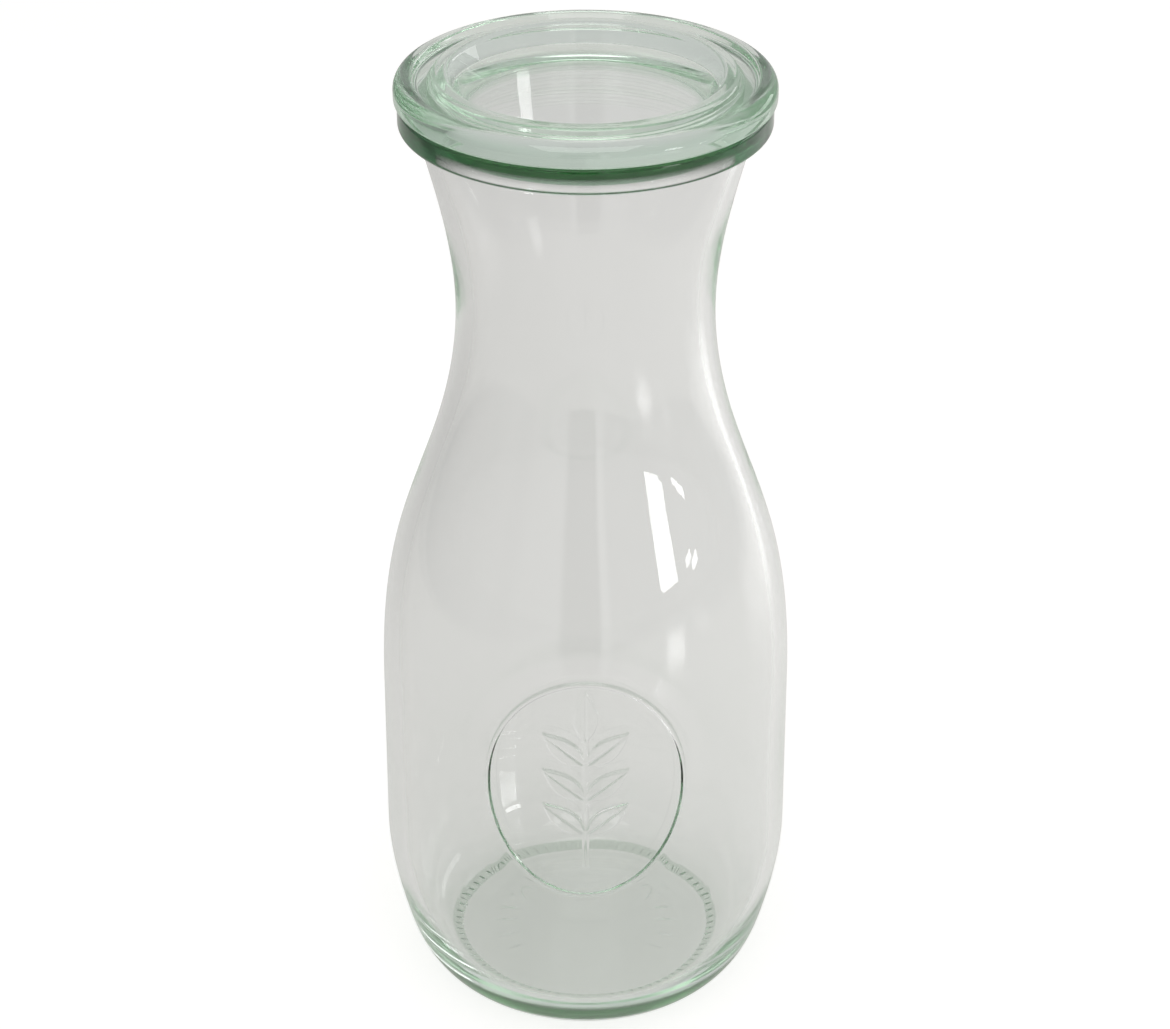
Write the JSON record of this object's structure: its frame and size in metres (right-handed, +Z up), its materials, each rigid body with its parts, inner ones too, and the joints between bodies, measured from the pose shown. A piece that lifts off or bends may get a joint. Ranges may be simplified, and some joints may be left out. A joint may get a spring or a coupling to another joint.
{
  "type": "glass milk bottle",
  "caption": "Carafe-shaped clear glass milk bottle with a rounded belly, waisted neck and flanged mouth, closed by a loose pressed-glass plug lid.",
  "frame": {"origin": "centre of the bearing ring, on the surface that the bottle stands on", "axes": "+Z up along the bottle's axis, -Y towards the front with the embossed plate, +X to its right"},
  "size_m": [0.079, 0.079, 0.1887],
  "materials": {
    "bottle_glass": "clear, faint green in the thick edges",
    "lid_glass": "clear pressed glass, faint green in the thick edges"
  },
  "bodies": {
    "bottle": {"bottle": "bottle_glass"},
    "lid": {"lid": "lid_glass"}
  },
  "joints": [
    {"name": "lid_lift", "type": "slide", "parent": "bottle", "child": "lid", "axis": [0, 0, 1], "range_m": [0, 0.08]}
  ]
}
